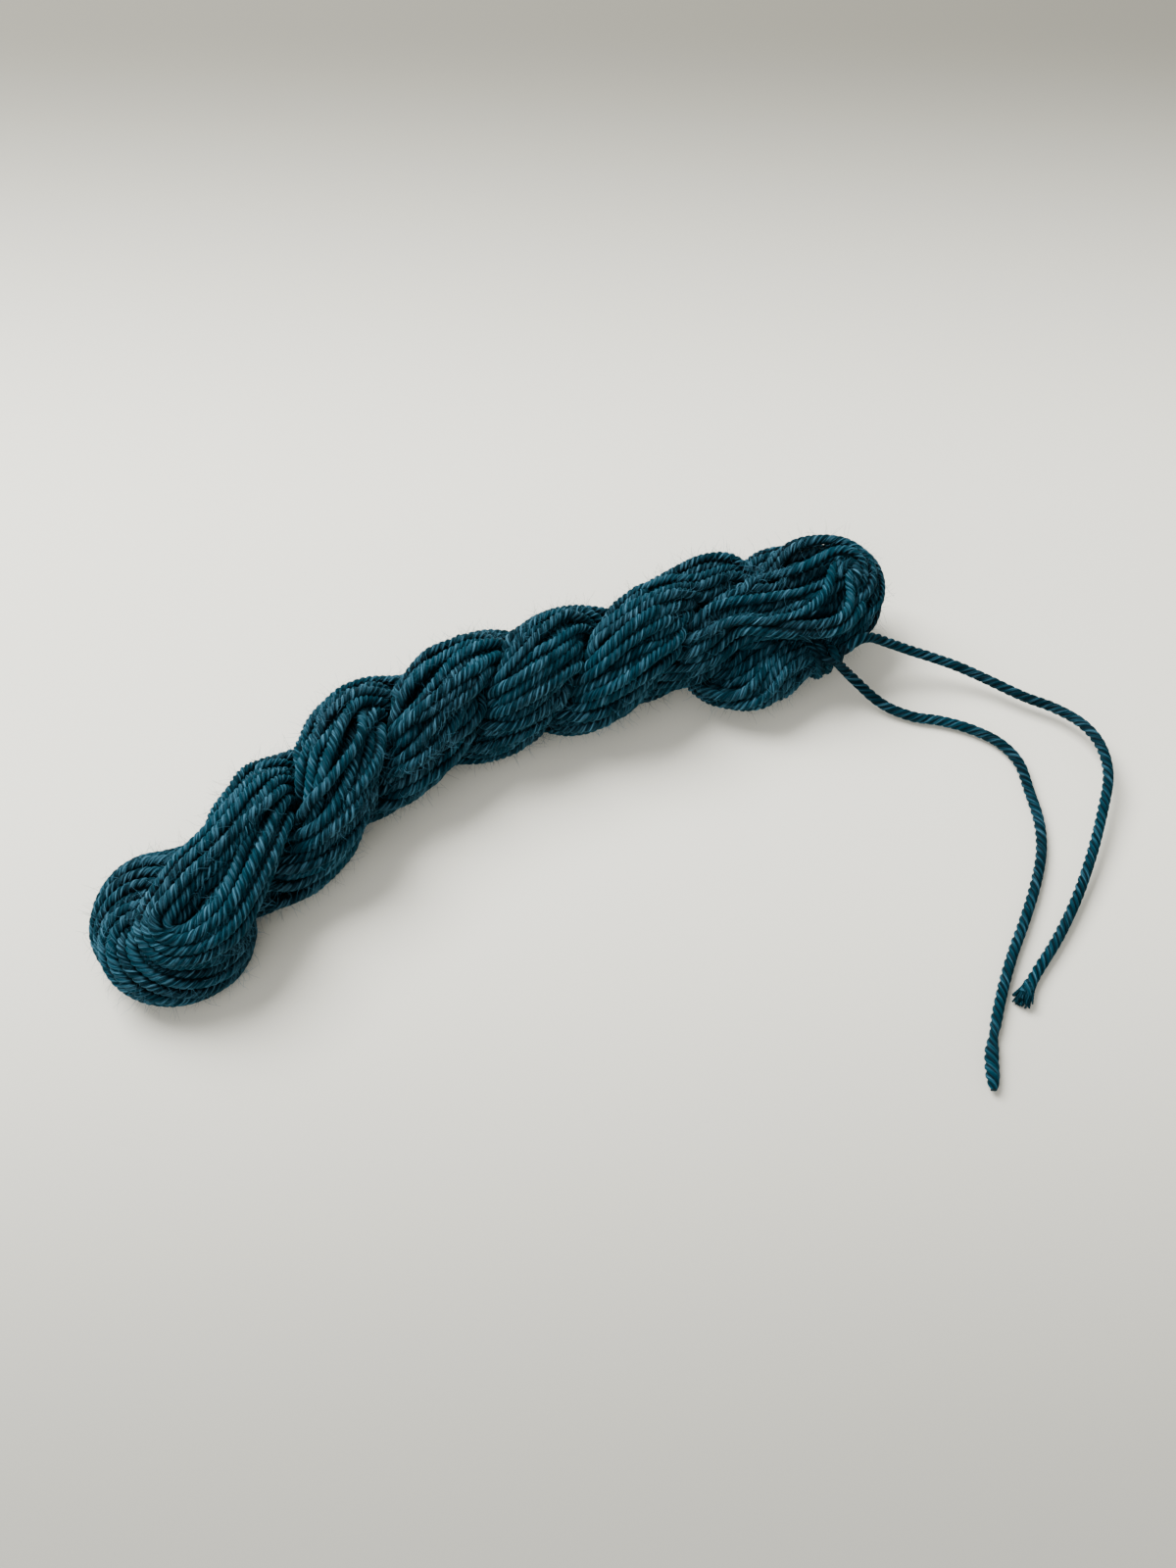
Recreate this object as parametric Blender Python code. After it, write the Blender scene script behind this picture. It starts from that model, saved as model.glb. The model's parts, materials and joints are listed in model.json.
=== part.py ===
"""A small skein of wool embroidery yarn: a hank twisted, folded in half and locked on itself.

Two plump bundles of yarn lie round each other in a left-handed twist, bent in a shallow arc on the
table. At the left end one bundle opens into a ring and the other passes over the ring's edge, and
its end loop is tucked into the ring, which makes a button. At the right end the bundles are one
bundle that turns back, and a short tie of the same yarn is knotted round its near limb. The tie's
two free ends lie loose on the table.

Run it with blender --background --python part.py, or from Blender's text editor.
Positions are written in millimetres and scaled to metres where the meshes are made.
X runs along the skein from the button to the fold, Y away from the front and Z up, and the surface
that the skein lies on is Z = 0. The tables are laid out from a point of their own, and ORIGIN is the
place in them that the finished part's origin takes, under the middle of the skein.
"""

import math

import bmesh
import bpy
from mathutils import Vector

MM = 0.001

# Driving dimensions, in millimetres and degrees.
ORIGIN = Vector((-0.4, 3.2, 0.0))
YARN = 1.7  # thickness of the yarn
GAP = 0.3  # air kept between two pieces
SPREAD = 5.0  # from the skein's axis to the middle of each bundle
BUNDLE_HALF_WIDTH = 6.5
BUNDLE_HALF_HEIGHT = 4.8
FIRST_TURN = 58.4  # where bundle one lies round the axis at the first crossing, from the top
HALF_TURN = 180.0
PINCH_RADIUS = 2.5  # of the near limb, inside the tie
BAND_RADIUS = PINCH_RADIUS + GAP + 0.5 * YARN
KNOT_RADII = (2.0, 2.2, 2.0)
KNOT_OFFSET = Vector((1.4, -2.6, 1.8))  # from the pinch
SECTION_SIDES = 20
SECTION_STEP = 1.6  # between two rings of a bundle's skin
SKIN_VOXEL = 0.75
TIE_VOXEL = 0.35
TIE_KEPT = 0.25  # share of the tie's faces kept
SKEIN_TRIANGLES = 5200
CORD_POINTS = 40
CORD_BEVEL_RESOLUTION = 2

# The skein's axis: along X, across Y, height, and how many half turns the bundles have made.
AXIS_COLUMNS = ("x", "y", "z", "half_turns")
AXIS_ROWS = (
    (-43.5, -1.2, 9.6, -0.5),
    (-35.0, 3.0, 9.5, 0.0),
    (-26.5, 7.2, 9.3, 0.5),
    (-18.0, 10.2, 9.3, 1.0),
    (-8.0, 11.6, 9.3, 1.5),
    (1.5, 11.3, 9.3, 2.0),
    (8.5, 10.3, 9.3, 2.5),
    (15.0, 9.1, 9.3, 3.0),
    (24.0, 8.0, 9.3, 3.5),
    (33.0, 6.8, 9.6, 4.0),
)

# Rows of a bundle's own sections: middle, half width, half height, and the lean of the short half
# axis from upright towards the left of the way along.
SECTION_COLUMNS = ("x", "y", "z", "half_width", "half_height", "lean")

# From the last crossing round the fold and back: far limb, fold, tie, near limb.
FOLD_ROWS = (
    (41.0, 8.8, 12.4, 7.2, 5.2, 42.0),
    (48.6, 5.6, 12.2, 8.0, 5.0, 26.0),
    (55.4, 5.2, 11.9, 8.0, 4.8, 28.0),
    (61.6, 4.4, 11.2, 6.0, 4.5, 62.0),
    (61.6, -0.2, 9.4, 4.8, 3.9, 88.0),
    (57.0, -3.0, 8.2, 3.6, 3.0, 90.0),
    (51.0, -5.0, 7.2, PINCH_RADIUS, PINCH_RADIUS, 95.0),
    (46.8, -4.2, 6.4, 5.2, 5.0, 100.0),
    (40.0, -1.6, 5.8, 6.4, 5.8, 110.0),
)
PINCH_ROW = 6  # the row of FOLD_ROWS that the tie holds

# Bundle one's left end, where it passes over the ring.
ARM_ROWS = (
    (-57.0, -6.4, 10.0, 4.6, 3.4, 0.0),
    (-52.0, -5.6, 12.0, 6.0, 3.8, -10.0),
    (-47.0, -3.6, 13.6, 6.6, 4.4, -20.0),
)

# Bundle two's left end, where it opens into the ring.
ROOT_ROWS = (
    (-46.5, 2.4, 5.6, 6.4, 4.9, 205.0),
    (-51.5, 0.2, 5.6, 5.4, 4.9, 190.0),
)

# The tucked end loop of bundle one.
TUCK_ROWS = (
    (-45.0, -0.2, 14.6, 3.4, 3.2, 0.0),
    (-50.5, -1.2, 14.4, 3.2, 3.1, 0.0),
    (-55.6, -2.6, 12.8, 3.0, 3.0, 0.0),
    (-58.6, -5.8, 10.8, 2.9, 2.9, 0.0),
    (-56.6, -9.0, 10.2, 2.9, 2.9, 0.0),
    (-51.6, -9.8, 11.2, 3.1, 3.0, 0.0),
    (-46.4, -8.0, 12.4, 3.3, 3.1, 0.0),
    (-41.5, -4.2, 12.8, 3.4, 3.2, 0.0),
)

# The ring of the button, which stands a little higher on its far side.
RING_CENTRE = (-55.2, -2.4)
RING_RADIUS = 7.6
RING_HALF_WIDTH = 5.5
RING_HALF_HEIGHT = 4.5
RING_MIDDLE_HEIGHT = 5.4
RING_SWELL = 0.9
RING_ROWS = 16

# Each free end of the tie, from the knot to its cut end.
ROUTE_COLUMNS = ("x", "y", "z")
FAR_END_ROUTE = (
    (54.6, -8.0, 9.8),
    (56.6, -7.8, 10.4),
    (59.2, -7.8, 9.6),
    (62.0, -8.8, 7.8),
    (65.2, -10.6, 6.0),
    (68.4, -13.0, 4.8),
    (71.4, -15.7, 3.8),
    (74.2, -19.2, 3.0),
    (77.8, -24.8, 2.4),
    (80.8, -29.2, 2.4),
    (82.4, -34.0, 2.8),
    (82.0, -38.8, 3.1),
    (79.4, -43.8, 3.2),
    (74.8, -48.4, 2.8),
    (68.8, -53.6, 2.2),
    (62.4, -58.4, 1.5),
    (56.2, -62.2, 1.1),
    (50.2, -65.2, 0.9),
    (46.4, -67.3, 0.9),
)
NEAR_END_ROUTE = (
    (54.2, -9.6, 5.6),
    (55.6, -11.4, 3.8),
    (57.0, -13.7, 2.2),
    (58.6, -16.2, 1.3),
    (61.2, -19.2, 0.9),
    (64.4, -21.8, 0.9),
    (67.6, -25.4, 0.9),
    (69.9, -29.6, 0.9),
    (70.3, -34.2, 0.9),
    (68.5, -39.2, 0.9),
    (66.3, -44.6, 0.9),
    (63.2, -49.2, 0.9),
    (58.8, -53.5, 0.9),
    (53.6, -57.7, 0.9),
    (48.8, -61.3, 0.9),
    (44.3, -65.1, 0.9),
    (40.3, -68.9, 0.9),
    (36.9, -72.5, 0.9),
    (34.0, -77.0, 0.9),
)

TEAL = (0.012, 0.115, 0.165, 1.0)
DEEP_TEAL = (0.008, 0.085, 0.125, 1.0)
WOOL_ROUGHNESS = 0.85


def clear_scene():
    for item in list(bpy.data.objects):
        bpy.data.objects.remove(item, do_unlink=True)


def wool(name, colour):
    """A plain matt wool."""
    material = bpy.data.materials.new(name)
    material.use_nodes = True
    shader = material.node_tree.nodes["Principled BSDF"]
    shader.inputs["Base Color"].default_value = colour
    shader.inputs["Roughness"].default_value = WOOL_ROUGHNESS
    shader.inputs["Metallic"].default_value = 0.0
    return material


def curve_value(before, here, there, after, t):
    """A smooth curve's value between here and there, for one column."""
    slope_here = 0.5 * (there - before)
    slope_there = 0.5 * (after - here)
    t2 = t * t
    t3 = t2 * t
    return (
        (2.0 * t3 - 3.0 * t2 + 1.0) * here
        + (t3 - 2.0 * t2 + t) * slope_here
        + (3.0 * t2 - 2.0 * t3) * there
        + (t3 - t2) * slope_there
    )


def smooth_rows(rows, per_row, closed=False):
    """Rows read from a smooth curve through the given rows, per_row for each of them."""
    count = len(rows)
    spans = count if closed else count - 1
    result = []
    for span in range(spans):
        near = [span - 1, span, span + 1, span + 2]
        near = [i % count if closed else min(max(i, 0), count - 1) for i in near]
        for k in range(per_row):
            t = k / per_row
            result.append([curve_value(*(rows[i][c] for i in near), t) for c in range(len(rows[0]))])
    if not closed:
        result.append(list(rows[-1]))
    return result


def even_rows(rows, step):
    """The same line with its rows an even step apart, first and last kept."""
    along = [0.0]
    for a, b in zip(rows, rows[1:], strict=False):
        along.append(along[-1] + (Vector(b[:3]) - Vector(a[:3])).length)
    pieces = max(2, round(along[-1] / step))
    result = []
    i = 0
    for k in range(pieces + 1):
        want = along[-1] * k / pieces
        while i < len(rows) - 2 and along[i + 1] < want:
            i += 1
        t = (want - along[i]) / max(along[i + 1] - along[i], 1e-9)
        result.append([a + t * (b - a) for a, b in zip(rows[i], rows[i + 1], strict=True)])
    return result


def bundle_rows(turn_offset, backwards):
    """The sections of one bundle along its twist, leftmost first, or last if backwards."""
    axis = smooth_rows(AXIS_ROWS, 4)
    rows = []
    for i, (x, y, z, half_turns) in enumerate(axis):
        before = axis[max(i - 1, 0)]
        after = axis[min(i + 1, len(axis) - 1)]
        way = Vector((after[0] - before[0], after[1] - before[1], 0.0)).normalized()
        far = Vector((-way.y, way.x, 0.0))
        turn = FIRST_TURN + HALF_TURN * half_turns + turn_offset
        angle = math.radians(turn)
        middle = Vector((x, y, z)) + SPREAD * (math.cos(angle) * Vector((0, 0, 1)) + math.sin(angle) * far)
        lean = -turn if backwards else turn
        rows.append((*middle, BUNDLE_HALF_WIDTH, BUNDLE_HALF_HEIGHT, lean))
    return rows[::-1] if backwards else rows


def same_way(rows, lean_before):
    """Rows whose leans carry on from lean_before by whole half turns, which an oval doesn't show."""
    shift = HALF_TURN * round((lean_before - rows[0][5]) / HALF_TURN)
    return [(*row[:5], row[5] + shift) for row in rows]


def whole_bundle():
    """Every section from the tucked arm along bundle one, round the fold and back to the ring."""
    one = bundle_rows(0.0, False)
    arm = same_way(ARM_ROWS, one[0][5])
    fold = same_way(FOLD_ROWS, one[-1][5])
    two = same_way(bundle_rows(HALF_TURN, True), fold[-1][5])
    root = same_way(ROOT_ROWS, two[-1][5])
    ends = smooth_rows(arm + one[:2], 4)[:-4]
    fold_line = smooth_rows([one[-2], one[-1], *fold, two[0], two[1]], 4)[4:-4]
    root_line = smooth_rows([two[-2], two[-1], *root], 4)[4:]
    return ends + one[1:-1] + fold_line + two[1:-1] + root_line


def ring_rows():
    """The ring's sections, once round."""
    rows = []
    for k in range(RING_ROWS):
        angle = 2.0 * math.pi * k / RING_ROWS
        x = RING_CENTRE[0] + RING_RADIUS * math.cos(angle)
        y = RING_CENTRE[1] + RING_RADIUS * math.sin(angle)
        z = RING_MIDDLE_HEIGHT + RING_SWELL * math.sin(angle)
        rows.append((x, y, z, RING_HALF_WIDTH, RING_HALF_HEIGHT, 90.0))
    return rows


def section_ring(skin, row, way):
    """One oval section of a bundle, as new points of skin."""
    x, y, z, half_width, half_height, lean = row
    left = Vector((0, 0, 1)).cross(way).normalized()
    up = way.cross(left).normalized()
    angle = math.radians(lean)
    short = math.cos(angle) * up + math.sin(angle) * left
    wide = way.cross(short)
    points = []
    for k in range(SECTION_SIDES):
        turn = 2.0 * math.pi * k / SECTION_SIDES
        at = Vector((x, y, z)) + half_width * math.cos(turn) * wide + half_height * math.sin(turn) * short
        points.append(skin.verts.new((at - ORIGIN) * MM))
    return points


def add_tube(skin, rows, closed=False):
    """A closed oval tube along the rows, added to skin."""
    count = len(rows)
    rings = []
    for i, row in enumerate(rows):
        before = rows[i - 1] if closed or i else row
        after = rows[(i + 1) % count] if closed or i < count - 1 else row
        way = (Vector(after[:3]) - Vector(before[:3])).normalized()
        rings.append(section_ring(skin, row, way))
    for i in range(count if closed else count - 1):
        a = rings[i]
        b = rings[(i + 1) % count]
        for k in range(SECTION_SIDES):
            n = (k + 1) % SECTION_SIDES
            skin.faces.new((a[k], a[n], b[n], b[k]))
    if not closed:
        skin.faces.new(rings[0][::-1])
        skin.faces.new(rings[-1])


def new_object(name, mesh_data, material):
    mesh = bpy.data.meshes.new(name)
    bmesh.ops.recalc_face_normals(mesh_data, faces=mesh_data.faces)
    mesh_data.to_mesh(mesh)
    mesh_data.free()
    mesh.materials.append(material)
    item = bpy.data.objects.new(name, mesh)
    bpy.context.scene.collection.objects.link(item)
    return item


def apply_modifiers(item):
    """Makes an object's evaluated mesh its own."""
    graph = bpy.context.evaluated_depsgraph_get()
    mesh = bpy.data.meshes.new_from_object(item.evaluated_get(graph))
    item.modifiers.clear()
    item.data = mesh


def keep_largest_shell(item):
    """Deletes every loose shell but the one with the most faces, such as a sealed bubble."""
    work = bmesh.new()
    work.from_mesh(item.data)
    waiting = set(work.faces)
    shells = []
    while waiting:
        stack = [waiting.pop()]
        shell = []
        while stack:
            face = stack.pop()
            shell.append(face)
            for edge in face.edges:
                for other in edge.link_faces:
                    if other in waiting:
                        waiting.remove(other)
                        stack.append(other)
        shells.append(shell)
    shells.sort(key=len)
    for shell in shells[:-1]:
        bmesh.ops.delete(work, geom=shell, context="FACES")
    work.to_mesh(item.data)
    work.free()


def flatten_sole(item):
    """Cuts the bumps that dip under Z = 0 off flat, and closes the cuts."""
    work = bmesh.new()
    work.from_mesh(item.data)
    geometry = work.verts[:] + work.edges[:] + work.faces[:]
    cut = bmesh.ops.bisect_plane(
        work, geom=geometry, dist=1e-7, plane_co=(0, 0, 0), plane_no=(0, 0, -1), clear_outer=True
    )
    edges = [e for e in cut["geom_cut"] if isinstance(e, bmesh.types.BMEdge)]
    bmesh.ops.holes_fill(work, edges=edges, sides=0)
    bmesh.ops.triangulate(work, faces=work.faces[:])
    bmesh.ops.dissolve_degenerate(work, dist=1e-6, edges=work.edges[:])
    bmesh.ops.recalc_face_normals(work, faces=work.faces[:])
    work.to_mesh(item.data)
    work.free()


def band_rows(half_thickness):
    """Sections of the round wrap that holds the pinched limb."""
    middle = Vector(FOLD_ROWS[PINCH_ROW][:3])
    way = (Vector(FOLD_ROWS[PINCH_ROW + 1][:3]) - Vector(FOLD_ROWS[PINCH_ROW - 1][:3])).normalized()
    side = Vector((0, 0, 1)).cross(way).normalized()
    up = way.cross(side)
    rows = []
    for k in range(SECTION_SIDES):
        angle = 2.0 * math.pi * k / SECTION_SIDES
        at = middle + BAND_RADIUS * (math.cos(angle) * side + math.sin(angle) * up)
        rows.append((*at, half_thickness, half_thickness, 0.0))
    return rows


def knot_middle():
    """Where the knot sits, on the wrap's outer side towards the fold."""
    return Vector(FOLD_ROWS[PINCH_ROW][:3]) + KNOT_OFFSET


def add_knot(skin, grow):
    """A small egg-shaped knot, grown by grow on all sides."""
    made = bmesh.ops.create_uvsphere(skin, u_segments=12, v_segments=8, radius=1.0)
    radii = [r + grow for r in KNOT_RADII]
    for point in made["verts"]:
        at = knot_middle() + Vector([c * r for c, r in zip(point.co, radii, strict=True)])
        point.co = (at - ORIGIN) * MM


def tie_shape(name, grow, material):
    """The tie's wrap and knot as one closed solid, grown by grow on all sides."""
    ring = bmesh.new()
    add_tube(ring, band_rows(0.5 * YARN + grow), closed=True)
    add_knot(ring, grow)
    item = new_object(name, ring, material)
    skin = item.modifiers.new("one skin", "REMESH")
    skin.mode = "VOXEL"
    skin.voxel_size = TIE_VOXEL * MM
    thin = item.modifiers.new("fewer faces", "DECIMATE")
    thin.ratio = TIE_KEPT
    apply_modifiers(item)
    keep_largest_shell(item)
    return item


def make_skein(material):
    """The whole hank as one solid: two bundles, the fold, the ring and the tucked loop."""
    work = bmesh.new()
    add_tube(work, even_rows(whole_bundle(), SECTION_STEP))
    add_tube(work, ring_rows(), closed=True)
    add_tube(work, even_rows(smooth_rows(TUCK_ROWS, 6), SECTION_STEP))
    skein = new_object("skein", work, material)
    skin = skein.modifiers.new("one skin", "REMESH")
    skin.mode = "VOXEL"
    skin.voxel_size = SKIN_VOXEL * MM
    apply_modifiers(skein)
    keep_largest_shell(skein)
    clearance = tie_shape("tie clearance", GAP, material)
    cut = skein.modifiers.new("room for the tie", "BOOLEAN")
    cut.operation = "DIFFERENCE"
    cut.solver = "EXACT"
    cut.object = clearance
    apply_modifiers(skein)
    bpy.data.objects.remove(clearance, do_unlink=True)
    keep_largest_shell(skein)
    thin = skein.modifiers.new("fewer faces", "DECIMATE")
    triangles = sum(len(face.vertices) - 2 for face in skein.data.polygons)
    thin.ratio = SKEIN_TRIANGLES / triangles
    apply_modifiers(skein)
    flatten_sole(skein)
    keep_largest_shell(skein)
    skein.data.shade_smooth()
    return skein


def make_cord(name, route, material):
    """One free end of the tie: a round yarn along a smooth curve through its route."""
    rows = smooth_rows(route, 8)
    length = sum((Vector(b) - Vector(a)).length for a, b in zip(rows, rows[1:], strict=False))
    line = even_rows(rows, length / CORD_POINTS)
    curve = bpy.data.curves.new(name, "CURVE")
    curve.dimensions = "3D"
    spline = curve.splines.new("POLY")
    spline.points.add(len(line) - 1)
    for point, at in zip(spline.points, line, strict=True):
        point.co = (*((Vector(at) - ORIGIN) * MM), 1.0)
    curve.bevel_depth = 0.5 * YARN * MM
    curve.bevel_resolution = CORD_BEVEL_RESOLUTION
    curve.use_fill_caps = True
    curve.materials.append(material)
    item = bpy.data.objects.new(name, curve)
    bpy.context.scene.collection.objects.link(item)
    return item


def main():
    clear_scene()
    yarn = wool("skein wool", TEAL)
    tie_yarn = wool("tie wool", DEEP_TEAL)
    make_skein(yarn)
    tie_shape("tie_band", 0.0, tie_yarn)
    make_cord("tie_end_far", FAR_END_ROUTE, tie_yarn)
    make_cord("tie_end_near", NEAR_END_ROUTE, tie_yarn)


main()
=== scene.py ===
"""A small twisted skein of wool embroidery yarn, strand by strand, on a pale table.

The hank is eighteen closed turns of four-ply yarn. Its two bundles lie round each other in a
left-handed twist. At one end a bundle opens into a ring and the other's end loop is tucked into it.
At the other end they are one bundle, which dives under itself, is nipped by a short knotted tie and
turns back. Every strand is laid out from the bundle's own sections and then settled against its
neighbours and the table, and a node tree spins the plies round it.
"""

import json
import math

import bpy
import numpy as np
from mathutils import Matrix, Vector

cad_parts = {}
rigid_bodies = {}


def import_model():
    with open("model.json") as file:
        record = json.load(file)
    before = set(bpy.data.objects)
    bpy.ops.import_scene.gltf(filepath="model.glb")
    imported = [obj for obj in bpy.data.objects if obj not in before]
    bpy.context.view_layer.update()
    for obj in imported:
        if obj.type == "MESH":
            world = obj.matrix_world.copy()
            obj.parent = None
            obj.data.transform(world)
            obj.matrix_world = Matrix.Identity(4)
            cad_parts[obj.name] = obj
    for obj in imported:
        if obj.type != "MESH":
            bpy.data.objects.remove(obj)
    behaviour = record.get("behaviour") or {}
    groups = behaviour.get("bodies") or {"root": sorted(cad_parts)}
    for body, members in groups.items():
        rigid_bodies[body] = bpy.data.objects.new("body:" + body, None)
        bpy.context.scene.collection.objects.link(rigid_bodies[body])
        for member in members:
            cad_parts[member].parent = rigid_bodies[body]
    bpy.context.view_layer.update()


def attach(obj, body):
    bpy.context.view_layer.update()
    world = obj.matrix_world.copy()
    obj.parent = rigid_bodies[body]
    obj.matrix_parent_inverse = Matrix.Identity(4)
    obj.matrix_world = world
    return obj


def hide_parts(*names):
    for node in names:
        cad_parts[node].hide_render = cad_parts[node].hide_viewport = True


bl_info = {
    "name": "Skein of embroidery yarn",
    "version": (1, 0, 0),
    "blender": (4, 5, 0),
    "location": "3D View > Sidebar > Skein",
    "description": "Builds a twisted skein of wool yarn with its tie, strand by strand",
    "category": "Add Mesh",
}

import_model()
MM = 0.001

# ---------------------------------------------------------------------------------------------
# Layout of the hank, in millimetres and degrees, on the part's own drawing
# ---------------------------------------------------------------------------------------------

ORIGIN = np.array((-0.4, 3.2, 0.0))
SPREAD = 5.3  # from the twist's middle to a bundle's
BUNDLE_HALF_WIDTH = 6.0
BUNDLE_HALF_HEIGHT = 4.9
SPREAD_SWELL = 0.04  # where the bundles lie side by side
BUNDLE_NARROWS = 0.07  # there too
FIRST_TURN = 58.4
HALF_TURN = 180.0
PINCH_ROW = 6
WRAP_RADIUS = 2.3
KNOT_OFFSET = (1.4, -2.6, 1.8)

# x, y, z, half turns that the bundles have made
AXIS_ROWS = (
    (-43.5, -1.2, 9.6, -0.5),
    (-35.0, 3.0, 9.5, 0.0),
    (-26.5, 7.2, 9.3, 0.5),
    (-18.0, 10.2, 9.3, 1.0),
    (-8.0, 11.6, 9.3, 1.5),
    (1.5, 11.3, 9.3, 2.0),
    (8.5, 10.3, 9.3, 2.5),
    (15.0, 9.1, 9.3, 3.0),
    (24.0, 8.0, 9.3, 3.5),
    (33.0, 6.8, 9.6, 4.0),
)

# Past the last crossing: x, y, z, half width, half height, lean, spin of the strands since that
# crossing, and squeeze. Bundle one dives under the other, comes out as the short near limb, is
# pinched by the tie and goes round into the far limb.
FOLD_ROWS = (
    (40.2, 12.4, 12.2, 6.0, 4.8, 58.0, -14.0, 1.0),
    (46.0, 12.4, 9.6, 6.2, 4.2, 40.0, -26.0, 1.0),
    (45.8, 8.6, 5.4, 6.8, 3.2, 12.0, -34.0, 1.0),
    (40.2, 3.4, 3.7, 7.8, 2.8, 0.0, -40.0, 1.0),
    (38.8, -1.6, 4.3, 7.8, 3.2, 0.0, -40.0, 1.0),
    (44.0, -3.2, 6.4, 5.8, 4.6, 0.0, 10.0, 0.95),
    (50.6, -5.0, 7.2, 2.5, 2.5, 0.0, 60.0, 0.5),
    (57.0, -3.0, 8.2, 3.6, 3.0, 0.0, 60.0, 0.7),
    (62.4, -0.4, 9.4, 4.0, 5.0, 0.0, 60.0, 0.85),
    (62.4, 5.0, 12.2, 4.7, 6.6, 20.0, 58.0, 0.95),
    (54.8, 4.0, 11.7, 10.6, 4.5, -6.0, 54.0, 1.0),
    (46.8, 3.8, 11.4, 9.2, 4.4, -8.0, 50.0, 1.0),
    (39.6, 5.0, 11.4, 6.4, 4.6, -36.0, 40.0, 1.0),
    (33.0, 3.6, 8.8, 5.6, 4.6, -58.0, 26.0, 1.0),
)

# x, y, z, half width, half height, lean
ROOT_ROWS = ((-46.5, 2.4, 5.6, 6.4, 4.9, 205.0),)
ROOT_SPIN = 10.0

# The end loop that is tucked into the ring: out along its far limb and back along its near one
LOOP_ROWS = (
    (-46.0, -0.6, 14.6, 3.8, 3.2, 0.0),
    (-49.8, -1.2, 14.4, 3.4, 3.0, 0.0),
    (-53.2, -3.2, 13.2, 2.9, 2.8, 0.0),
    (-58.0, -6.0, 11.2, 2.7, 2.6, 0.0),
    (-55.6, -9.2, 10.2, 2.7, 2.6, 0.0),
    (-50.8, -9.6, 11.4, 3.0, 2.8, 0.0),
    (-46.4, -7.2, 12.8, 3.6, 3.1, 0.0),
)

RING_CENTRE = (-55.2, -2.4)
RING_RADIUS = 7.0
RING_HALF_WIDTH = 5.6
RING_HALF_HEIGHT = 5.3
RING_MIDDLE_HEIGHT = 5.4
RING_SWELL = 0.9
RING_OPENS_AT = 25.0
RING_HOLLOW_AT = 318.0
HOLLOW_OUT = 1.5
HOLLOW_DEPTH = 1.6

FAR_END_ROUTE = (
    (54.6, -8.0, 9.8),
    (56.6, -7.8, 10.4),
    (59.2, -7.8, 9.6),
    (62.0, -8.8, 7.8),
    (65.2, -10.6, 6.0),
    (68.4, -13.0, 4.8),
    (71.4, -15.7, 3.8),
    (74.2, -19.2, 3.0),
    (77.8, -24.8, 2.4),
    (80.8, -29.2, 2.4),
    (82.4, -34.0, 2.8),
    (82.0, -38.8, 3.1),
    (79.4, -43.8, 3.2),
    (74.8, -48.4, 2.8),
    (68.8, -53.6, 2.2),
    (62.4, -58.4, 1.5),
    (56.2, -62.2, 1.1),
    (50.2, -65.2, 0.9),
    (46.4, -67.3, 0.9),
)
NEAR_END_ROUTE = (
    (54.2, -9.6, 5.6),
    (55.6, -11.4, 3.8),
    (57.0, -13.7, 2.2),
    (58.6, -16.2, 1.3),
    (61.2, -19.2, 0.9),
    (64.4, -21.8, 0.9),
    (67.6, -25.4, 0.9),
    (69.9, -29.6, 0.9),
    (70.3, -34.2, 0.9),
    (68.5, -39.2, 0.9),
    (66.3, -44.6, 0.9),
    (63.2, -49.2, 0.9),
    (58.8, -53.5, 0.9),
    (53.6, -57.7, 0.9),
    (48.8, -61.3, 0.9),
    (44.3, -65.1, 0.9),
    (40.3, -68.9, 0.9),
    (36.9, -72.5, 0.9),
    (34.0, -77.0, 0.9),
)

STATION = 1.2  # between two points of a strand while it settles
STRANDS = 36
LOOP_STRANDS = 18
HIDDEN_STRANDS = 19  # of a bundle's strands, counted from its middle
CUT_AFTER = 700  # points of a run before the next cut
TOUCH_REACH = 2.3  # points nearer than this may touch while they settle
OPEN_REACH = 3.4  # points nearer than this cover each other from the open air
PIECE_LENGTH = 3300.0  # of strand in one piece
TUFT_THREADS = 64

# Painted shade: near-black for the grooves between the plies
GROOVE_SHADE_COLOUR = (0.0, 0.0018, 0.0032, 1.0)
# Painted shade: near-black for wool that other strands cover
COVERED_SHADE_COLOUR = (0.0, 0.0012, 0.0022, 1.0)
# Painted shade on the table: darker towards the far side and towards the near edge
TABLE_FAR_SHADE_COLOUR = (0.195, 0.188, 0.155, 1.0)
TABLE_NEAR_SHADE_SHARE = 0.40
ROOM_COLOUR = (1.0, 0.99, 0.96, 1.0)
LAMP_SIDE = 0.5
WINDOW_PLACE = (-0.16, 0.42, 0.62)
FILL_PLACE = (-0.45, -0.30, 0.35)
TABLE_SIDE = 1.4
TABLE_DROP = 0.0002
HAIR_FLOOR = 0.0001
SQUARE_CM_IN_SQUARE_M = 10000.0


# ---------------------------------------------------------------------------------------------
# Sizes and colours
# ---------------------------------------------------------------------------------------------


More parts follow.
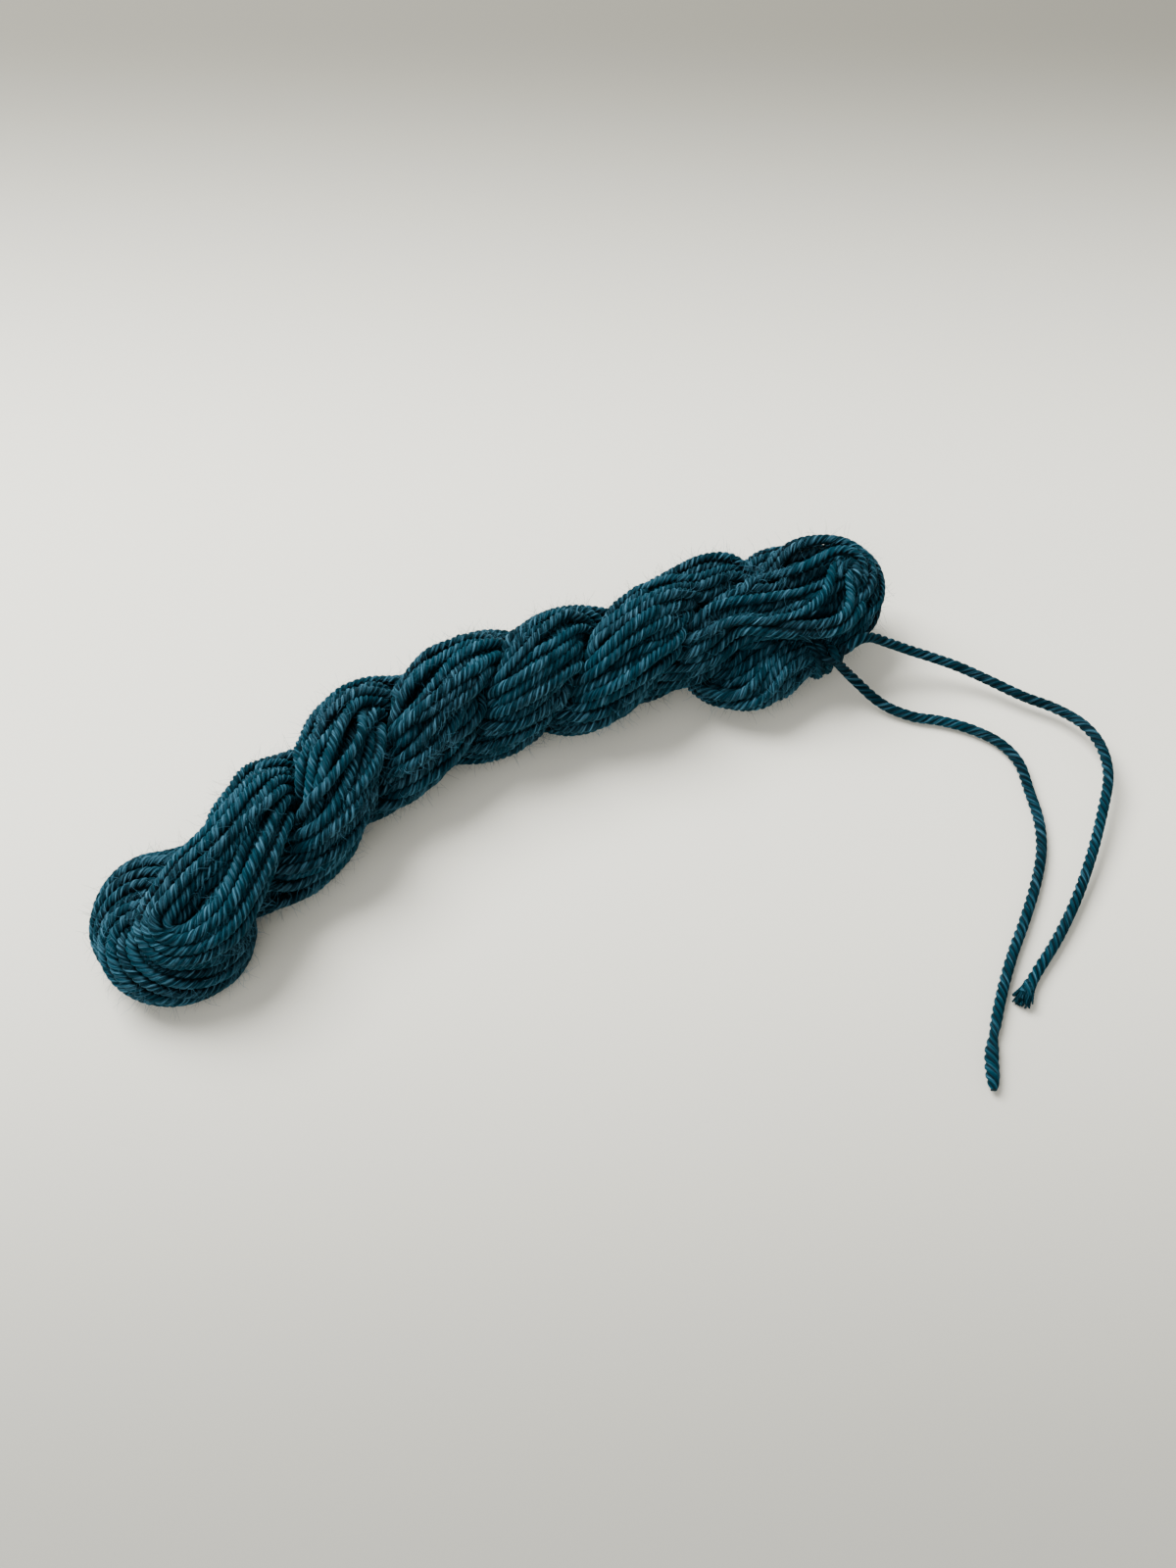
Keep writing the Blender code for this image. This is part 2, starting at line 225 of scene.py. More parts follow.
class SkeinSizes(bpy.types.PropertyGroup):
    """Sizes of the yarn and how the strands lie."""

    yarn: bpy.props.FloatProperty(
        name="Yarn", description="Thickness of the yarn", default=0.0017, min=0.0005, unit="LENGTH"
    )
    pitch: bpy.props.FloatProperty(
        name="Ply pitch", description="Length in which a ply goes once round the yarn", default=0.0042, unit="LENGTH"
    )
    tie_pitch: bpy.props.FloatProperty(
        name="Tie's pitch", description="The same in the slack ends of the tie", default=0.0052, unit="LENGTH"
    )
    plies: bpy.props.IntProperty(name="Plies", description="Plies spun into the yarn", default=4, min=2, max=6)
    groove: bpy.props.FloatProperty(
        name="Groove", description="Depth of the groove between two plies", default=0.3, subtype="FACTOR"
    )
    ring_step: bpy.props.FloatProperty(
        name="Step", description="Distance between two rings of a strand's mesh", default=0.00046, unit="LENGTH"
    )
    untwist: bpy.props.FloatProperty(
        name="Untwist", description="Share of the skein's twist that the strands undo inside a bundle",
        default=0.6, subtype="FACTOR",
    )
    wander: bpy.props.FloatProperty(
        name="Wander", description="How far a strand strays from its place in the bundle",
        default=0.24, subtype="FACTOR",
    )
    press: bpy.props.FloatProperty(
        name="Press", description="Distance that settled strands keep, as a share of their thickness",
        default=0.92, subtype="FACTOR",
    )
    settle_steps: bpy.props.IntProperty(name="Settling", description="Rounds of settling", default=60, min=0)
    hairs: bpy.props.FloatProperty(
        name="Hairs", description="Loose fibres on a square centimetre of yarn", default=190.0, min=0.0
    )
    hair_length: bpy.props.FloatProperty(
        name="Hair length", description="Length of the longest loose fibre", default=0.0030, unit="LENGTH"
    )
    seed: bpy.props.IntProperty(name="Seed", description="Seed of everything uneven", default=4)


class SkeinColours(bpy.types.PropertyGroup):
    """Colours of the wool and of the table."""

    deep: bpy.props.FloatVectorProperty(
        name="Deep", description="Wool in its darkest streaks", subtype="COLOR", size=4, min=0, max=1,
        default=(0.0, 0.0050, 0.0085, 1.0),
    )
    middle: bpy.props.FloatVectorProperty(
        name="Middle", description="Most of the wool", subtype="COLOR", size=4, min=0, max=1,
        default=(0.0, 0.0225, 0.0370, 1.0),
    )
    # The light colour is the wool's pale fibres and also stands in as painted highlight
    light: bpy.props.FloatVectorProperty(
        name="Light", description="Pale fibres in the wool", subtype="COLOR", size=4, min=0, max=1,
        default=(0.070, 0.200, 0.285, 1.0),
    )
    sheen: bpy.props.FloatVectorProperty(
        name="Sheen", description="Soft shine of the wool", subtype="COLOR", size=4, min=0, max=1,
        default=(0.06, 0.62, 0.80, 1.0),
    )
    table: bpy.props.FloatVectorProperty(
        name="Table", description="Table top", subtype="COLOR", size=4, min=0, max=1,
        default=(0.84, 0.825, 0.725, 1.0),
    )


class SkeinStage(bpy.types.PropertyGroup):
    """Camera and lights."""

    aim: bpy.props.FloatVectorProperty(
        name="Aim", description="Point on the table that the camera looks at", default=(0.0104, -0.0086, 0.0),
        subtype="TRANSLATION", unit="LENGTH",
    )
    distance: bpy.props.FloatProperty(
        name="Distance", description="From the camera to that point", default=0.257, unit="LENGTH"
    )
    azimuth: bpy.props.FloatProperty(
        name="Azimuth", description="Camera's place round the skein", default=math.radians(-28.5), unit="ROTATION"
    )
    elevation: bpy.props.FloatProperty(
        name="Elevation", description="Camera's height over the table", default=math.radians(55.0), unit="ROTATION"
    )
    lens: bpy.props.FloatProperty(name="Lens", description="Focal length in millimetres", default=38.25)
    key_power: bpy.props.FloatProperty(name="Key", description="Power of the window light", default=16.0, unit="POWER")
    fill_power: bpy.props.FloatProperty(name="Fill", description="Power of the side fill", default=1.8, unit="POWER")
    sky: bpy.props.FloatProperty(name="Room", description="Strength of the room's own light", default=0.62)


# ---------------------------------------------------------------------------------------------
# Node trees
# ---------------------------------------------------------------------------------------------


class Value:
    """A number socket in a node tree. Sums written with it add Math nodes."""

    def __init__(self, graph, socket):
        self.graph = graph
        self.socket = socket

    def __add__(self, other):
        return self.graph.math("ADD", self, other)

    def __radd__(self, other):
        return self.graph.math("ADD", other, self)

    def __sub__(self, other):
        return self.graph.math("SUBTRACT", self, other)

    def __rsub__(self, other):
        return self.graph.math("SUBTRACT", other, self)

    def __mul__(self, other):
        return self.graph.math("MULTIPLY", self, other)

    def __rmul__(self, other):
        return self.graph.math("MULTIPLY", other, self)

    def __truediv__(self, other):
        return self.graph.math("DIVIDE", self, other)

    def __rtruediv__(self, other):
        return self.graph.math("DIVIDE", other, self)


class Graph:
    """Adds nodes to a shader or geometry tree."""

    def __init__(self, tree):
        self.tree = tree
        self.count = 0

    def node(self, kind, settings=None, inputs=None):
        """A node of one type, its settings first and then the values or links of its sockets."""
        made = self.tree.nodes.new(kind)
        made.location = (220 * (self.count % 12), -260 * (self.count // 12))
        self.count += 1
        for name, value in (settings or {}).items():
            setattr(made, name, value)
        for name, value in (inputs or {}).items():
            self.feed(made.inputs[name], value)
        return made

    def feed(self, socket, value):
        if isinstance(value, Value):
            self.tree.links.new(value.socket, socket)
        elif isinstance(value, bpy.types.NodeSocket):
            self.tree.links.new(value, socket)
        else:
            socket.default_value = value

    def value(self, node, output=0):
        return Value(self, node.outputs[output])

    def math(self, operation, *terms):
        made = self.node("ShaderNodeMath", {"operation": operation}, dict(enumerate(terms)))
        return self.value(made)

    def joined(self, x, y, z):
        return self.node("ShaderNodeCombineXYZ", None, {0: x, 1: y, 2: z}).outputs[0]

    def mixed(self, factor, first, second):
        """A colour between two."""
        settings = {"data_type": "RGBA", "blend_type": "MIX", "clamp_factor": True}
        return self.node("ShaderNodeMix", settings, {0: factor, 6: first, 7: second}).outputs[2]

    def attribute(self, name, output="Fac"):
        return self.value(self.node("ShaderNodeAttribute", {"attribute_name": name}), output)

    def stored(self, geometry, name, value, kind="FLOAT"):
        """The geometry with a value stored on its points under a name."""
        inputs = {0: geometry, "Name": name, "Value": value}
        return self.node("GeometryNodeStoreNamedAttribute", {"data_type": kind}, inputs).outputs[0]

    def noise(self, vector, scale, detail=2.0, roughness=0.5):
        inputs = {"Vector": vector, "Scale": scale, "Detail": detail, "Roughness": roughness}
        return self.value(self.node("ShaderNodeTexNoise", {"noise_dimensions": "3D"}, inputs))

    def between(self, value, low, high):
        """value's place between low and high, smoothed and clamped."""
        settings = {"interpolation_type": "SMOOTHSTEP"}
        return self.value(self.node("ShaderNodeMapRange", settings, {0: value, 1: low, 2: high}))


def wool_material(name, colours, pale, dark, shade, depth, fuzz=False):
    """Heathered wool: pale and dark streaks along each ply, painted shade in the ply grooves, and fine fibres in
    relief.

    pale, dark: strength of the streaks; the pale ones also stand in as painted highlight. shade: strength of the
    painted shade where other strands cover it. depth: strength of the painted shade in the grooves.
    """
    material = bpy.data.materials.new(name)
    material.use_nodes = True
    material.node_tree.nodes.clear()
    graph = Graph(material.node_tree)
    place = graph.node("ShaderNodeTexCoord").outputs["Object"]
    patch = graph.noise(place, 95.0, 2.0)
    if fuzz:
        colour = graph.mixed(graph.between(patch, 0.4, 0.65), colours.middle, colours.light)
        bump = None
    else:
        along = graph.attribute("along")
        split = graph.node("ShaderNodeSeparateXYZ", None, {0: graph.attribute("around", "Vector")})
        x = graph.value(split, 0)
        y = graph.value(split, 1)
        fibre = graph.joined(along * 450.0, x * 4.0, y * 4.0)
        streak = graph.joined(along * 210.0, x * 1.6, y * 1.6)
        hairs = graph.noise(fibre, 1.0, 3.0, 0.65)
        bands = graph.noise(streak, 1.0, 2.0, 0.55)
        length = graph.noise(graph.joined(along * 70.0, 0.5, 0.5), 1.0, 1.0)
        tone = graph.between(0.5 * patch + 0.7 * length - 0.35 * bands, 0.26, 0.58)
        colour = graph.mixed(tone * dark, colours.middle, colours.deep)
        # Pale streaks: pale fibres of the heathered wool, also standing in as painted highlight
        shine = graph.between(bands + 0.6 * (hairs - 0.5), 0.42, 0.82)
        colour = graph.mixed(shine * pale, colour, colours.light)
        # Painted shade in the grooves between the plies
        colour = graph.mixed(graph.attribute("groove") * depth, colour, GROOVE_SHADE_COLOUR)
        # Painted shade where other strands cover the wool
        painted_shade = graph.between(graph.attribute("bare"), 0.27, -0.06)
        colour = graph.mixed(painted_shade * shade, colour, COVERED_SHADE_COLOUR)
        bump = graph.node("ShaderNodeBump", None, {"Strength": 0.6, "Distance": 0.00025, "Height": hairs})
    shader = graph.node("ShaderNodeBsdfPrincipled", None, {
        "Base Color": colour,
        "Roughness": 0.78,
        "Specular IOR Level": 0.05,
        "Sheen Weight": 0.07,
        "Sheen Roughness": 0.45,
        "Sheen Tint": colours.sheen,
    })
    if bump is not None:
        graph.feed(shader.inputs["Normal"], bump.outputs[0])
    output = graph.node("ShaderNodeOutputMaterial")
    graph.feed(output.inputs["Surface"], shader.outputs[0])
    return material


def new_tree(name, inputs):
    """A geometry tree with a geometry input and output and named inputs for its sizes."""
    tree = bpy.data.node_groups.new(name, "GeometryNodeTree")
    tree.interface.new_socket("Geometry", in_out="OUTPUT", socket_type="NodeSocketGeometry")
    tree.interface.new_socket("Geometry", in_out="INPUT", socket_type="NodeSocketGeometry")
    for label, kind in inputs:
        tree.interface.new_socket(label, in_out="INPUT", socket_type=kind)
    graph = Graph(tree)
    return tree, graph, graph.node("NodeGroupInput")


def close_tree(graph, geometry, given):
    """Ends a tree: instances made real, the material set."""
    whole = graph.node("GeometryNodeRealizeInstances", None, {0: geometry})
    inputs = {0: whole.outputs[0], "Material": given.outputs["Material"]}
    painted = graph.node("GeometryNodeSetMaterial", None, inputs)
    graph.feed(graph.node("NodeGroupOutput").inputs[0], painted.outputs[0])


def named(graph, name):
    node = graph.node("GeometryNodeInputNamedAttribute", {"data_type": "FLOAT"}, {"Name": name})
    return graph.value(node)


def plied_tree():
    """Turns lines into plied yarn: a lobed section swept along each line and spun left-handed."""
    kinds = (
        ("Pitch", "NodeSocketFloat"),
        ("Plies", "NodeSocketInt"),
        ("Groove", "NodeSocketFloat"),
        ("Step", "NodeSocketFloat"),
        ("Material", "NodeSocketMaterial"),
    )
    tree, graph, given = new_tree("plied yarn", kinds)
    line = graph.node("GeometryNodeMeshToCurve", None, {0: given.outputs["Geometry"]})
    line = graph.node("GeometryNodeCurveSplineType", {"spline_type": "CATMULL_ROM"}, {0: line.outputs[0]})
    line = graph.node("GeometryNodeSetSplineResolution", None, {0: line.outputs[0], 2: 4})
    line = graph.node(
        "GeometryNodeResampleCurve", {"mode": "LENGTH"}, {0: line.outputs[0], 3: given.outputs["Step"]}
    )
    here = graph.node("GeometryNodeSplineParameter")
    length = graph.value(graph.node("GeometryNodeSplineLength"))
    plies = Value(graph, given.outputs["Plies"])
    turns = graph.math("ROUND", length / Value(graph, given.outputs["Pitch"]) * plies) / plies
    tilt = turns * (-2.0 * math.pi) * graph.value(here, "Factor")
    line = graph.node("GeometryNodeSetCurveTilt", None, {0: line.outputs[0], "Tilt": tilt})
    line = graph.node("GeometryNodeSetCurveRadius", None, {0: line.outputs[0], "Radius": named(graph, "thick")})
    place = graph.value(here, "Length") + named(graph, "strand") * 3.17
    line = graph.stored(line.outputs[0], "along", place)
    sides = plies * 3
    circle = graph.node("GeometryNodeCurvePrimitiveCircle", None, {"Resolution": sides, "Radius": 1.0})
    rim = graph.node("GeometryNodeInputPosition").outputs[0]
    circle = graph.stored(circle.outputs[0], "around", rim, "FLOAT_VECTOR")
    number = graph.value(graph.node("GeometryNodeInputIndex"))
    valley = graph.math("LESS_THAN", graph.math("MODULO", number, 3.0), 0.5)
    circle = graph.stored(circle, "groove", valley)
    reach = 1.0 - named(graph, "groove") * Value(graph, given.outputs["Groove"])
    lobed = graph.node("ShaderNodeVectorMath", {"operation": "SCALE"}, {0: rim, "Scale": reach})
    circle = graph.node("GeometryNodeSetPosition", None, {0: circle, "Position": lobed.outputs[0]})
    tube = graph.node(
        "GeometryNodeCurveToMesh", None,
        {0: line, 1: circle.outputs[0], "Scale": named(graph, "thick"), "Fill Caps": True},
    )
    # bare: how much each place faces the open air; the wool material paints shade where it is low
    bare = graph.stored(tube.outputs[0], "bare", open_share(graph))
    smooth = graph.node("GeometryNodeSetShadeSmooth", None, {0: bare})
    close_tree(graph, smooth.outputs[0], given)
    return tree


def open_share(graph):
    """How much a place on a strand looks away from the strands round it."""
    settings = {"data_type": "FLOAT_VECTOR"}
    open_side = graph.node("GeometryNodeInputNamedAttribute", settings, {"Name": "open_side"})
    normal = graph.node("GeometryNodeInputNormal").outputs[0]
    facing = graph.node("ShaderNodeVectorMath", {"operation": "DOT_PRODUCT"}, {0: open_side.outputs[0], 1: normal})
    return graph.value(facing, "Value")


def hair_tree():
    """Loose fibres: thin curved threads scattered over the yarn's outer side."""
    kinds = (
        ("Density", "NodeSocketFloat"),
        ("Length", "NodeSocketFloat"),
        ("Seed", "NodeSocketInt"),
        ("Material", "NodeSocketMaterial"),
    )
    tree, graph, given = new_tree("loose fibres", kinds)
    bare = graph.between(open_share(graph), 0.20, 0.40)
    density = Value(graph, given.outputs["Density"]) * SQUARE_CM_IN_SQUARE_M * bare
    spots = graph.node(
        "GeometryNodeDistributePointsOnFaces", None,
        {0: given.outputs["Geometry"], "Density": density, "Seed": given.outputs["Seed"]},
    )
    thread = graph.node("GeometryNodeCurvePrimitiveLine", None, {0: (0.0, 0.0, -0.06), 1: (0.0, 0.0, 0.9)})
    thread = graph.node("GeometryNodeResampleCurve", None, {0: thread.outputs[0], "Count": 3})
    share = graph.value(graph.node("GeometryNodeSplineParameter"), "Factor")
    bend = graph.joined(0.42 * share * share, 0.16 * share * (1.0 - share), 0.0)
    thread = graph.node("GeometryNodeSetPosition", None, {0: thread.outputs[0], "Offset": bend})
    taper = 0.0075 * (1.0 - 0.6 * share)
    ring = graph.node("GeometryNodeCurvePrimitiveCircle", None, {"Resolution": 3, "Radius": 1.0})
    thread = graph.node(
        "GeometryNodeCurveToMesh", None,
        {0: thread.outputs[0], 1: ring.outputs[0], "Scale": taper, "Fill Caps": True},
    )
    swing = graph.node(
        "FunctionNodeRandomValue", {"data_type": "FLOAT_VECTOR"},
        {0: (-1.15, -1.15, -3.14), 1: (1.15, 1.15, 3.14), "Seed": given.outputs["Seed"]},
    )
    turn = graph.node("FunctionNodeEulerToRotation", None, {0: swing.outputs[0]})
    lean = graph.node(
        "FunctionNodeRotateRotation", {"rotation_space": "LOCAL"},
        {0: spots.outputs["Rotation"], 1: turn.outputs[0]},
    )
    grown = graph.value(graph.node("FunctionNodeRandomValue", None, {2: 0.3, 3: 1.0, "Seed": 7}), 1)
    size = Value(graph, given.outputs["Length"]) * grown * grown
    placed = graph.node(
        "GeometryNodeInstanceOnPoints", None,
        {0: spots.outputs[0], 2: thread.outputs[0], "Rotation": lean.outputs[0],
         "Scale": graph.joined(size, size, size)},
    )
    whole = graph.node("GeometryNodeRealizeInstances", None, {0: placed.outputs[0]})
    at = graph.node("ShaderNodeSeparateXYZ", None, {0: graph.node("GeometryNodeInputPosition").outputs[0]})
    height = graph.math("MAXIMUM", graph.value(at, 2), HAIR_FLOOR)
    lifted = graph.joined(graph.value(at, 0), graph.value(at, 1), height)
    whole = graph.node("GeometryNodeSetPosition", None, {0: whole.outputs[0], "Position": lifted})
    close_tree(graph, whole.outputs[0], given)
    return tree


def grown_mesh(item, tree, values):
    """Runs a geometry tree on an object and returns the result as a plain mesh."""
    modifier = item.modifiers.new(tree.name, "NODES")
    modifier.node_group = tree
    for socket in tree.interface.items_tree:
        if socket.in_out == "INPUT" and socket.name in values:
            modifier[socket.identifier] = values[socket.name]
    bpy.context.view_layer.update()
    graph = bpy.context.evaluated_depsgraph_get()
    mesh = bpy.data.meshes.new_from_object(item.evaluated_get(graph))
    item.modifiers.remove(modifier)
    return mesh


def new_piece(name, mesh):
    mesh.name = name
    item = bpy.data.objects.new(name, mesh)
    bpy.context.scene.collection.objects.link(item)
    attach(item, "root")
    return item


# ---------------------------------------------------------------------------------------------
# Lines and sections
# ---------------------------------------------------------------------------------------------


def smooth_rows(rows, per_row, closed=False):
    """Rows read from a smooth curve through the given rows."""
    rows = np.asarray(rows, float)
    count = len(rows)
    spans = count if closed else count - 1
    parts = []
    for span in range(spans):
        near = [span - 1, span, span + 1, span + 2]
        near = [i % count if closed else min(max(i, 0), count - 1) for i in near]
        before, here, there, after = (rows[i] for i in near)
        t = (np.arange(per_row) / per_row)[:, None]
        slope_here = 0.5 * (there - before)
        slope_there = 0.5 * (after - here)
        parts.append(
            (2 * t**3 - 3 * t**2 + 1) * here
            + (t**3 - 2 * t**2 + t) * slope_here
            + (3 * t**2 - 2 * t**3) * there
            + (t**3 - t**2) * slope_there
        )
    if not closed:
        parts.append(rows[-1:])
    return np.concatenate(parts)


def even_rows(rows, step):
    """The same line with its rows an even step apart, first and last kept."""
    along = np.concatenate(([0.0], np.cumsum(np.linalg.norm(np.diff(rows[:, :3], axis=0), axis=1))))
    count = max(3, round(along[-1] / step) + 1)
    wanted = np.linspace(0.0, along[-1], count)
    return np.stack([np.interp(wanted, along, rows[:, c]) for c in range(rows.shape[1])], axis=1)


def same_way(rows, column, before):
    """Rows whose leans carry on from the row before by whole half turns."""
    rows = np.asarray(rows, float).copy()
    rows[:, column] += HALF_TURN * np.round((before - rows[0, column]) / HALF_TURN)
    return rows


def twisted_rows(turn_offset, backwards, untwist):
    """Sections of one bundle along the twist: x, y, z, half width, half height, lean, spin, squeeze."""
    axis = smooth_rows(AXIS_ROWS, 4)
    way = np.gradient(axis[:, :2], axis=0)
    way /= np.linalg.norm(way, axis=1)[:, None]
    far = np.stack((-way[:, 1], way[:, 0]), axis=1)
    turn = FIRST_TURN + HALF_TURN * axis[:, 3] + turn_offset
    angle = np.radians(turn)
    rows = np.zeros((len(axis), 8))
    beside = np.cos(2.0 * math.pi * axis[:, 3])
    spread = SPREAD * (1.0 + SPREAD_SWELL * beside)
    rows[:, :2] = axis[:, :2] + (spread * np.sin(angle))[:, None] * far
    rows[:, 2] = axis[:, 2] + spread * np.cos(angle)
    rows[:, 3] = BUNDLE_HALF_WIDTH * (1.0 - BUNDLE_NARROWS * beside)
    rows[:, 4] = BUNDLE_HALF_HEIGHT * (1.0 - BUNDLE_NARROWS * beside)
    rows[:, 5] = -turn if backwards else turn
    rows[:, 6] = untwist * (turn - turn_offset) * (1.0 if backwards else -1.0)
    rows[:, 7] = 1.0
    return rows[::-1] if backwards else rows


def bundle_sections(sizes):
    """Every section from bundle one's left end, round the fold, to bundle two's left end."""
    one = twisted_rows(0.0, False, sizes.untwist)
    fold = same_way(FOLD_ROWS, 5, one[-1, 5])
    fold[:, 6] += one[-1, 6]
    two = same_way(twisted_rows(HALF_TURN, True, sizes.untwist), 5, fold[-1, 5])
    two[:, 6] += fold[-1, 6] - two[0, 6]
    root = same_way(ROOT_ROWS, 5, two[-1, 5])
    root = np.concatenate((root, np.tile((two[-1, 6] - ROOT_SPIN, 1.0), (len(root), 1))), axis=1)
    fold_line = smooth_rows(np.concatenate((one[-2:], fold, two[3:5])), 4)[4:-4]
    root_line = smooth_rows(np.concatenate((two[-2:], root)), 4)[4:-2]
    whole = np.concatenate((one[2:-1], fold_line, two[4:-1], root_line))
    return even_rows(whole, STATION)


def disc_layout(counts, radii):
    """Places in a unit disc, as radius and angle, ring by ring from the middle."""
    places = []
    for k, (count, radius) in enumerate(zip(counts, radii, strict=True)):
        for i in range(count):
            places.append((radius, 2.0 * math.pi * (i + 0.37 * k) / count))
    return np.array(places)


def strands_in(rows, places, half_yarn, wander, rng, closed=False):
    """Each strand's points through a bundle's sections: strands, sections, 3."""
    middle = rows[:, :3]
    if closed:
        way = np.roll(middle, -1, axis=0) - np.roll(middle, 1, axis=0)
    else:
        way = np.gradient(middle, axis=0)
    way /= np.linalg.norm(way, axis=1)[:, None]
    left = np.cross((0.0, 0.0, 1.0), way)
    left /= np.linalg.norm(left, axis=1)[:, None]
    up = np.cross(way, left)
    lean = np.radians(rows[:, 5])[None, :]
    spin = np.radians(rows[:, 6])[None, :]
    squeeze = rows[:, 7][None, :]
    s = np.arange(len(rows))[None, :] * STATION
    count = len(places)
    if closed:
        waves = 2.0 * math.pi / (len(rows) * STATION) * rng.integers(1, 4, (count, 1))
        turn_waves = waves
    else:
        waves = 2.0 * math.pi / rng.uniform(22.0, 55.0, (count, 1))
        turn_waves = 1.3 * waves
    phase = rng.uniform(0.0, 2.0 * math.pi, (2, count, 1))
    radius = places[:, :1] + wander * np.sin(waves * s + phase[0])
    radius = np.clip(radius, -1.05, 1.05)
    stray = wander * np.sin(turn_waves * s + phase[1]) / np.maximum(places[:, :1], 0.4)
    turn = places[:, 1:] + stray + spin - lean
    tall = radius * (rows[:, 4][None, :] - half_yarn * squeeze) * np.cos(turn)
    wide = -radius * (rows[:, 3][None, :] - half_yarn * squeeze) * np.sin(turn)
    short = np.cos(lean)[..., None] * up[None] + np.sin(lean)[..., None] * left[None]
    long = np.cross(way[None], short)
    return middle[None] + tall[..., None] * short + wide[..., None] * long


def matched(first, second):
    """For each point of first, the index of its partner in second, with little distance in all."""
    cost = np.linalg.norm(first[:, None] - second[None], axis=2) ** 2
    partner = list(range(len(first)))
    better = True
    while better:
        better = False
        for i in range(len(partner)):
            for j in range(i + 1, len(partner)):
                a, b = partner[i], partner[j]
                if cost[i, b] + cost[j, a] < cost[i, a] + cost[j, b] - 1e-9:
                    partner[i], partner[j] = b, a
                    better = True
    return partner


def ring_sections(start, end, closed):
    """The ring's sections between two angles, counted from the skein's side, counter-clockwise."""
    count = max(4, round(math.radians(end - start) * RING_RADIUS / STATION))
    angle = np.radians(np.linspace(start, end, count, endpoint=not closed))
    rows = np.zeros((count, 8))
    hollow = np.exp(6.0 * (np.cos(angle - math.radians(RING_HOLLOW_AT)) - 1.0))
    radius = RING_RADIUS + HOLLOW_OUT * hollow
    rows[:, 0] = RING_CENTRE[0] + radius * np.cos(angle)
    rows[:, 1] = RING_CENTRE[1] + radius * np.sin(angle)
    rows[:, 2] = RING_MIDDLE_HEIGHT + RING_SWELL * np.sin(angle)
    rows[:, 3] = RING_HALF_WIDTH
    rows[:, 4] = RING_HALF_HEIGHT - HOLLOW_DEPTH * hollow
    rows[:, 5] = 90.0
    if not closed:
        outwards = np.clip((np.degrees(angle) - 120.0) / 90.0, 0.0, 1.0)
        outwards = outwards * outwards * (3.0 - 2.0 * outwards)
        rows[:, 6] = -0.8 * np.degrees(angle - angle[0]) - 70.0 * outwards
    rows[:, 7] = 1.0
    return rows


class Lines:
    """Strands as lists of points, with what each point carries."""

    def __init__(self):
        self.points = []
        self.closed = []
        self.thick = []
        self.open = []

    def add(self, points, thick, closed, open_side=None):
        """open_side is the way to the open air at each point, shorter where other strands cover it."""
        self.points.append(np.asarray(points, float))
        self.thick.append(np.asarray(thick, float))
        self.open.append(np.zeros((len(points), 3)) if open_side is None else open_side)
        self.closed.append(closed)


def lay_out_hank(sizes):
    """The hank's strands as closed turns, cut only in the middle of a bundle where nothing shows."""
    rng = np.random.default_rng(sizes.seed)
    half = 500.0 * sizes.yarn
    rows = bundle_sections(sizes)
    places = disc_layout((1, 6, 12, 17), (0.0, 0.36, 0.68, 1.0))
    bundle = strands_in(rows, places, half, sizes.wander, rng)
    squeeze = rows[:, 7]
    loop_rows = np.concatenate((LOOP_ROWS, np.tile((0.0, 1.0), (len(LOOP_ROWS), 1))), axis=1)
    loop_rows = even_rows(smooth_rows(loop_rows, 6), STATION)
    loop_rows[:, 6] = np.linspace(0.0, -60.0, len(loop_rows))
    small = disc_layout((2, 6, 10), (0.18, 0.55, 1.0))
    loops = strands_in(loop_rows, small, half, 0.08, rng)
    ring_rows = ring_sections(RING_OPENS_AT + 28.0, RING_OPENS_AT + 332.0, False)
    shell = disc_layout((3, 15), (0.62, 1.0))
    rings = strands_in(ring_rows, shell, half, 0.08, rng)
    fillers = disc_layout((2, 5), (0.15, 0.5))
    inner = strands_in(ring_sections(0.0, 360.0, True), fillers, half, 0.05, rng, closed=True)

    by_far = np.argsort(-bundle[:, 0, 1])
    loop_out, loop_back = by_far[:LOOP_STRANDS], by_far[LOOP_STRANDS:]
    out_partner = matched(loops[:, 0], bundle[loop_out, 0])
    back_partner = matched(loops[:, -1], bundle[loop_back, 0])
    by_far = np.argsort(-bundle[:, -1, 1])
    ring_in, ring_out = by_far[:LOOP_STRANDS], by_far[LOOP_STRANDS:]
    in_partner = matched(rings[:, 0], bundle[ring_in, -1])
    leave_partner = matched(rings[:, -1], bundle[ring_out, -1])

    at_start = {}
    at_end = {}
    for k in range(LOOP_STRANDS):
        out, back = int(loop_out[out_partner[k]]), int(loop_back[back_partner[k]])
        at_start[out] = (back, loops[k])
        at_start[back] = (out, loops[k][::-1])
        into, leave = int(ring_in[in_partner[k]]), int(ring_out[leave_partner[k]])
        at_end[into] = (leave, rings[k])
        at_end[leave] = (into, rings[k][::-1])

    lines = Lines()
    waiting = set(range(STRANDS))
    while waiting:
        first = min(waiting)
        parts = []
        strand = first
        while True:
            waiting.discard(strand)
            parts.append((bundle[strand], squeeze, strand < HIDDEN_STRANDS))
            partner, link = at_end[strand]
            parts.append((link, np.ones(len(link)), False))
            waiting.discard(partner)
            parts.append((bundle[partner][::-1], squeeze[::-1], partner < HIDDEN_STRANDS))
            strand, link = at_start[partner]
            parts.append((link, np.ones(len(link)), False))
            if strand == first:
                break
        add_turns(lines, parts, half)
    for filler in inner:
        lines.add(filler, np.full(len(filler), half), True)
    return lines


